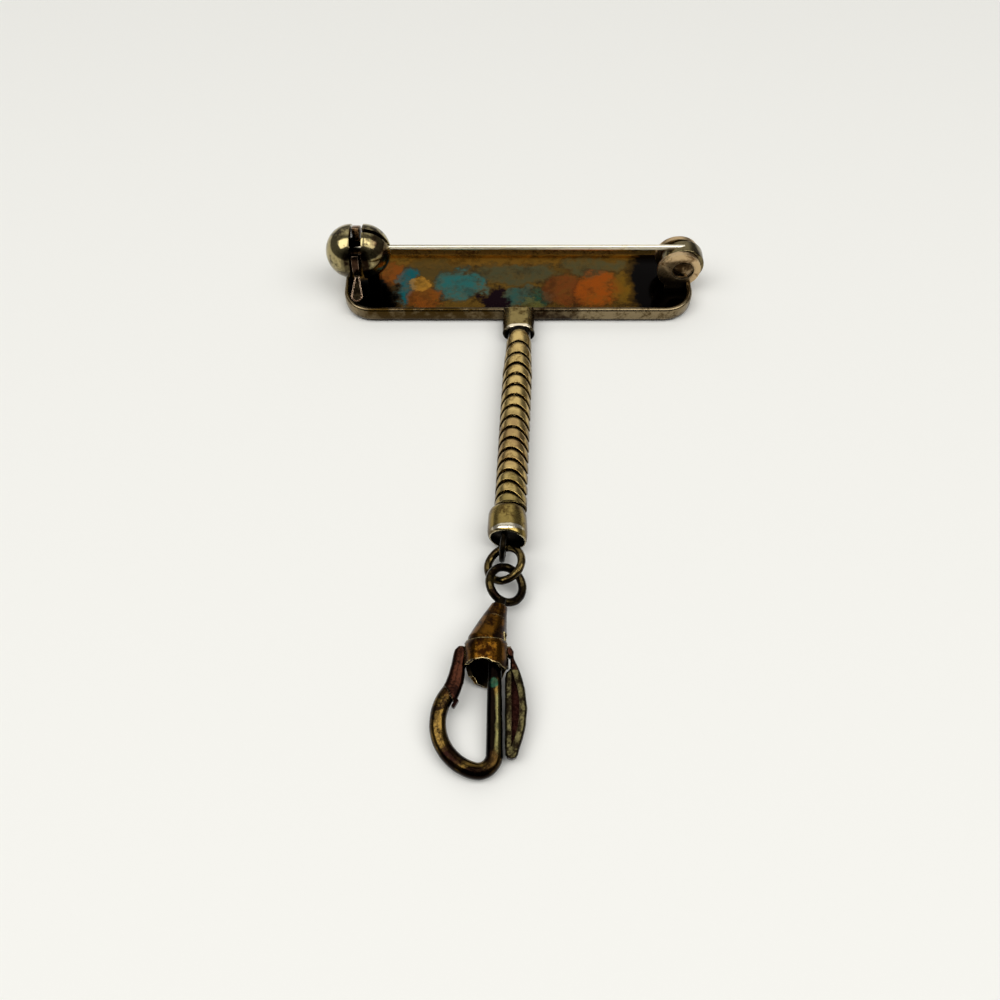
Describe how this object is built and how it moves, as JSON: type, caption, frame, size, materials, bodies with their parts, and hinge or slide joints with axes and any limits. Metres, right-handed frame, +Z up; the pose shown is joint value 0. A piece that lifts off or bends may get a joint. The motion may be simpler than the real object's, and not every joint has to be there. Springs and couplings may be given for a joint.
{
  "type": "chatelaine watch pin",
  "caption": "Antique gilt brass bar brooch seen from its back, with a hinged pin, a ball safety catch, a snake chain drop and a swivel clip for a watch.",
  "frame": {"origin": "centre of the bar's front face, which lies on the table", "axes": "+X along the bar from the ball catch to the hinge, +Y across the bar away from the chain, +Z up from the front face to the back with the pin; millimetres in the source, metres in the row"},
  "size_m": [0.0377, 0.0556, 0.007],
  "materials": {
    "bar": "worn gilt brass with iridescent brown, green and blue tarnish inside the tray",
    "stem": "drawn nickel brass wire, lightly tarnished",
    "rivet": "peened rivet, darkened around its edge",
    "lock": "copper-brown brass with worn bright edges",
    "chain": "rolled brass scales, olive gold, dark in the gaps",
    "cap": "spun cup, olive gold with a bright worn rim",
    "ring": "bent wire, yellow-olive",
    "eye": "bent wire, dark olive",
    "clip": "cast brass, worn gilding over dark brown",
    "gate": "dark red-brown patina with bright edges",
    "pins": "flush pin, dark"
  },
  "bodies": {
    "base": {"bar": "bar", "hinge_rivet": "rivet", "snake_chain": "chain", "end_cap": "cap", "jump_ring": "ring", "swivel_eye": "eye"},
    "pin": {"pin_stem": "stem"},
    "lock": {"catch_lock": "lock"},
    "clip": {"clip_body": "clip", "gate_pin": "pins"},
    "gate": {"gate_lever": "gate"}
  },
  "joints": [
    {"name": "pin_hinge", "type": "hinge", "parent": "base", "child": "pin", "pos_m": [0.01645, 0.0006, 0.00295], "axis": [0, 1, 0], "range_deg": [0, 110]},
    {"name": "catch_turn", "type": "hinge", "parent": "base", "child": "lock", "pos_m": [-0.016, 0.0006, 0.00435], "axis": [1, 0, 0], "range_deg": [-70, 0]},
    {"name": "swivel_turn", "type": "hinge", "parent": "base", "child": "clip", "pos_m": [-0.00134, -0.03535, 0.0017], "axis": [-0.2703, -0.9615, 0.0489], "continuous": true},
    {"name": "gate_swing", "type": "hinge", "parent": "clip", "child": "gate", "pos_m": [-0.0029, -0.0413, 0.0019], "axis": [0, -0.1374, 0.9905], "range_deg": [0, 22], "stiffness_Nm_per_rad": 0.003}
  ]
}
